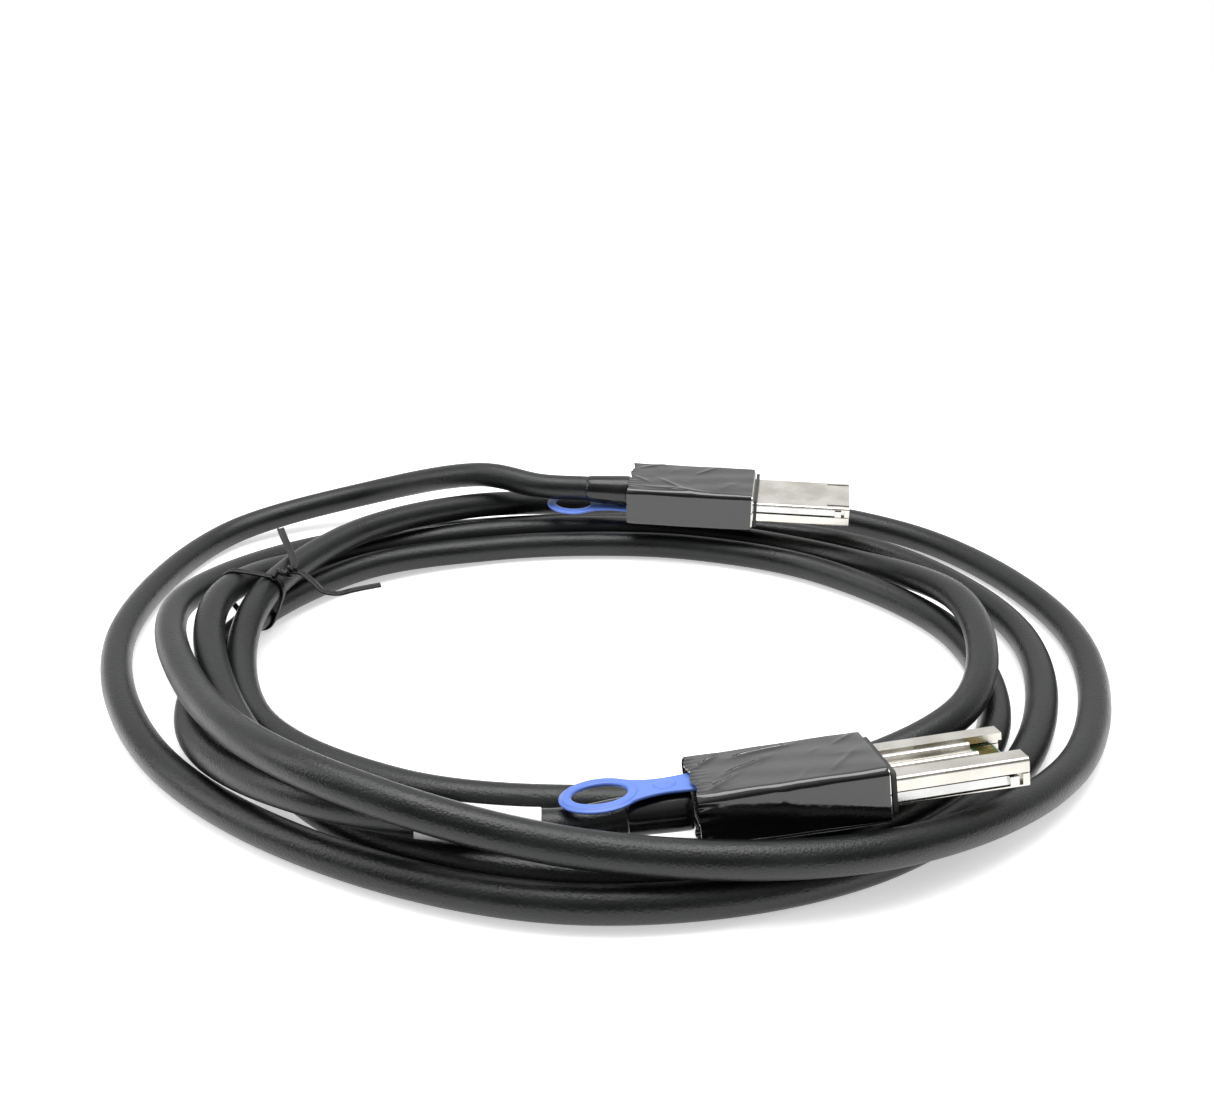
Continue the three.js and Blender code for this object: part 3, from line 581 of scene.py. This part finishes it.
def make_label():
    """A white sleeve round the cable: a ring section swept along the cord's own line, thicker where
    its end laps over."""
    azimuths = cable_azimuths()
    first = int(np.searchsorted(azimuths, LABEL_START_AZIMUTH))
    line = even_steps(cable_line[first:first + int(LABEL_LENGTH / CABLE_STEP) + 1], 1.0 * MM)
    sides, uppers = carried_frames(line, (0, 0, 1))
    ring = circle(MM, 56)
    angle = np.arctan2(ring[:, 1], ring[:, 0])
    lap = np.where((angle > LABEL_LAP_FROM) & (angle < LABEL_LAP_TO), LABEL_LAP, 0.0)[:, None]
    outer, inner = ring * (LABEL_OUTER + lap), ring * LABEL_INNER

    def rings(section):
        return (line[:, None] + sides[:, None] * section[None, :, :1]
                + uppers[:, None] * section[None, :, 1:])

    label = grid_mesh("label", np.concatenate([rings(outer), rings(inner)[::-1]]), closed_along=True)
    outward(label)
    smooth(label, 40)
    declare(label, "root", "cable_label", "label")
    return label


TIE_AZIMUTH = 175
TIE_TURNS = (2, 3, 4)
TIE_KNOT_ANGLE = 120
TIE_WIDTH = 2.2
TIE_THICKNESS = 0.55
TIE_BEAD = 0.34
TIE_CLEARANCE = 0.45
TIE_STEP = 0.7
TWIST_TURNS = 2.2
TWIST_RADIUS = 0.75
TWIST_FROM = (0.6, 0.8)
TWIST_RUN = (-6.6, 1.7)
# The tails, from the knot's place: away from the coil's axis, up, back along the cable
LONG_TAIL = [(-5.6, 2.4, 0.4), (-5.4, 2.9, 3), (-1.5, 3.7, 11), (2.4, 4.4, 18), (6, 4.9, 25)]
BENT_TAIL = [(-5.4, 2.2, -0.2), (-8, 2.2, -0.4), (-13, 0.6, -3.5), (-16, -0.9, -5.6),
             (-18.5, -1.2, -6.2), (-20.5, -1.6, -5.2), (-24.5, -0.8, -4.2), (-31.5, -0.4, -1)]


def tie_frame(points):
    """Points drawn out from the coil's axis, up, and back along the cable, placed in the row frame."""
    angle = math.radians(TIE_AZIMUTH)
    out = np.array([math.cos(angle), math.sin(angle), 0])
    back = np.array([math.sin(angle), -math.cos(angle), 0])
    points = np.asarray(points, float)
    world = points[:, :1] * out + points[:, 1:2] * (0, 0, 1) + points[:, 2:] * back
    return (world + BOX_SHIFT) * MM


def tie_section():
    """A flat ribbon with a round bead down each edge: most of a circle at either side, joined by
    two short flats."""
    half = TIE_WIDTH / 2 - 0.32
    flat_x, flat_y = 0.2, TIE_THICKNESS / 2 - 0.12
    right, left = np.linspace(-2.4, 2.4, 9), np.linspace(0.75, 5.53, 9)
    upper, lower = [(flat_x, flat_y), (-flat_x, flat_y)], [(-flat_x, -flat_y), (flat_x, -flat_y)]
    return np.concatenate([
        np.stack([half + TIE_BEAD * np.cos(right), TIE_BEAD * np.sin(right)], axis=1), upper,
        np.stack([-half + TIE_BEAD * np.cos(left), TIE_BEAD * np.sin(left)], axis=1), lower,
    ]) * MM


def tie_strip(name, points, side):
    """The ribbon's section carried along a curve through the points."""
    line = even_steps(smooth_line(tie_frame(points), 14), TIE_STEP * MM)
    strip = swept(name, line, tie_section(), side)
    outward(strip)
    smooth(strip, 50)
    return strip


def tie_loop():
    """Round three strands: at each angle, the strand that lies furthest that way, pushed out by the
    cable's radius and a clearance, and never under the floor."""
    azimuths = cable_azimuths()
    place = cable_line / MM - BOX_SHIFT
    reach = CABLE_WIDTH / 2 + TIE_CLEARANCE
    marks = TIE_AZIMUTH + 360 * np.array(TIE_TURNS)
    x, y, z = (np.interp(marks, azimuths, place[:, axis]) for axis in range(3))
    strands = np.stack([np.hypot(x, y), z], axis=1)
    angle = np.radians(TIE_KNOT_ANGLE - np.arange(0, 361, 12))
    towards = np.stack([np.cos(angle), np.sin(angle)], axis=1)
    far = strands[(towards @ strands.T).argmax(axis=1)] + reach * towards
    return np.stack([far[:, 0], np.maximum(far[:, 1], TIE_CLEARANCE), 0 * angle], axis=1)


def make_tie():
    """The tie: a loop round three turns, a knot of two strips in a double helix, and two tails."""
    angle = math.radians(TIE_AZIMUTH)
    back_along_cable = (math.sin(angle), -math.cos(angle), 0)
    loop = tie_loop()
    knot = loop[0]
    pieces = [tie_strip("tie_loop", loop, back_along_cable)]
    share = np.linspace(0, 1, 26)
    for which in (0, 1):
        turn = 2 * math.pi * TWIST_TURNS * share + math.pi * which
        helix = knot + np.stack([
            TWIST_FROM[0] + TWIST_RUN[0] * share,
            TWIST_FROM[1] + TWIST_RUN[1] * share + TWIST_RADIUS * np.sin(turn),
            TWIST_RADIUS * np.cos(turn),
        ], axis=1)
        pieces.append(tie_strip(f"tie_twist_{which + 1}", helix, back_along_cable))
    pieces.append(tie_strip("tie_tail_long", knot + LONG_TAIL, (-1, 0, 0)))
    pieces.append(tie_strip("tie_tail_bent", knot + BENT_TAIL, (0, 1, 0)))
    for piece in pieces:
        declare(piece, "root", "twist_tie", "tie")


label = make_label()
cable = make_cable()
paint(cable, "jacket")
make_tie()

for plug in PLUG_PLACES:
    make_film(plug)
    make_boot(plug)
    make_tab(plug)
    make_card(plug)

for entry in frame["record"]["subparts"]:
    node = frame["nodes"][entry["node"]]
    paint(node, entry["material_slot"])


# Floor and light

def make_floor():
    """A pale floor that looks white to the camera and in reflections but keeps the shadow."""
    size = 3.0
    mesh = bpy.data.meshes.new("floor")
    corners = [(-size, -size, 0), (size, -size, 0), (size, size, 0), (-size, size, 0)]
    mesh.from_pydata(corners, [], [(0, 1, 2, 3)])
    floor = bpy.data.objects.new("floor", mesh)
    bpy.context.scene.collection.objects.link(floor)
    material = bpy.data.materials.new("floor_white")
    material.use_nodes = True
    surface = material.node_tree.nodes["Principled BSDF"]
    surface.inputs["Base Color"].default_value = (0.92, 0.92, 0.92, 1)
    surface.inputs["Roughness"].default_value = 0.7
    surface.inputs["Emission Color"].default_value = (1, 1, 1, 1)
    path = material.node_tree.nodes.new("ShaderNodeLightPath")
    glow = material.node_tree.nodes.new("ShaderNodeMath")
    seen = material.node_tree.nodes.new("ShaderNodeMath")
    seen.operation = "MAXIMUM"
    glow.operation = "MULTIPLY"
    glow.inputs[1].default_value = 0.5
    material.node_tree.links.new(path.outputs["Is Camera Ray"], seen.inputs[0])
    material.node_tree.links.new(path.outputs["Is Glossy Ray"], seen.inputs[1])
    material.node_tree.links.new(seen.outputs[0], glow.inputs[0])
    material.node_tree.links.new(glow.outputs[0], surface.inputs["Emission Strength"])
    floor.data.materials.append(material)


def make_lamp(name, place, aim, size, power):
    data = bpy.data.lights.new(name, "AREA")
    data.shape = "RECTANGLE"
    data.size, data.size_y = size
    data.energy = power
    lamp = bpy.data.objects.new(name, data)
    lamp.location = place
    direction = np.array(aim, float) - np.array(place, float)
    lamp.rotation_euler = Vector(direction).to_track_quat("-Z", "Y").to_euler()
    bpy.context.scene.collection.objects.link(lamp)


def make_world():
    """White to the camera; for the light, bright overhead and behind, dim on the viewer's side."""
    world = bpy.data.worlds.new("studio")
    world.use_nodes = True
    tree = world.node_tree
    background = tree.nodes["Background"]
    background.inputs["Color"].default_value = (1, 1, 1, 1)
    place = tree.nodes.new("ShaderNodeTexCoord")
    split = tree.nodes.new("ShaderNodeSeparateXYZ")
    spread = tree.nodes.new("ShaderNodeMapRange")
    spread.inputs["From Min"].default_value = 0.0
    spread.inputs["From Max"].default_value = 0.85
    spread.inputs["To Min"].default_value = 0.14
    spread.inputs["To Max"].default_value = 0.95
    lean = tree.nodes.new("ShaderNodeMath")
    lean.operation = "MULTIPLY_ADD"
    lean.inputs[1].default_value = 0.6
    path = tree.nodes.new("ShaderNodeLightPath")
    brighter = tree.nodes.new("ShaderNodeMath")
    brighter.operation = "MAXIMUM"
    tree.links.new(place.outputs["Generated"], split.inputs[0])
    tree.links.new(split.outputs["Y"], lean.inputs[0])
    tree.links.new(split.outputs["Z"], lean.inputs[2])
    tree.links.new(lean.outputs[0], spread.inputs["Value"])
    tree.links.new(spread.outputs["Result"], brighter.inputs[0])
    tree.links.new(path.outputs["Is Camera Ray"], brighter.inputs[1])
    tree.links.new(brighter.outputs[0], background.inputs["Strength"])
    bpy.context.scene.world = world


make_floor()
make_world()
make_lamp("top_box", (0.0, 0.05, 0.75), (0, 0, 0), (0.7, 0.5), 5.0)
make_lamp("left_box", (-0.7, -0.1, 0.45), (0, 0, 0), (0.4, 0.6), 2.0)

bpy.context.scene.view_settings.view_transform = "Standard"
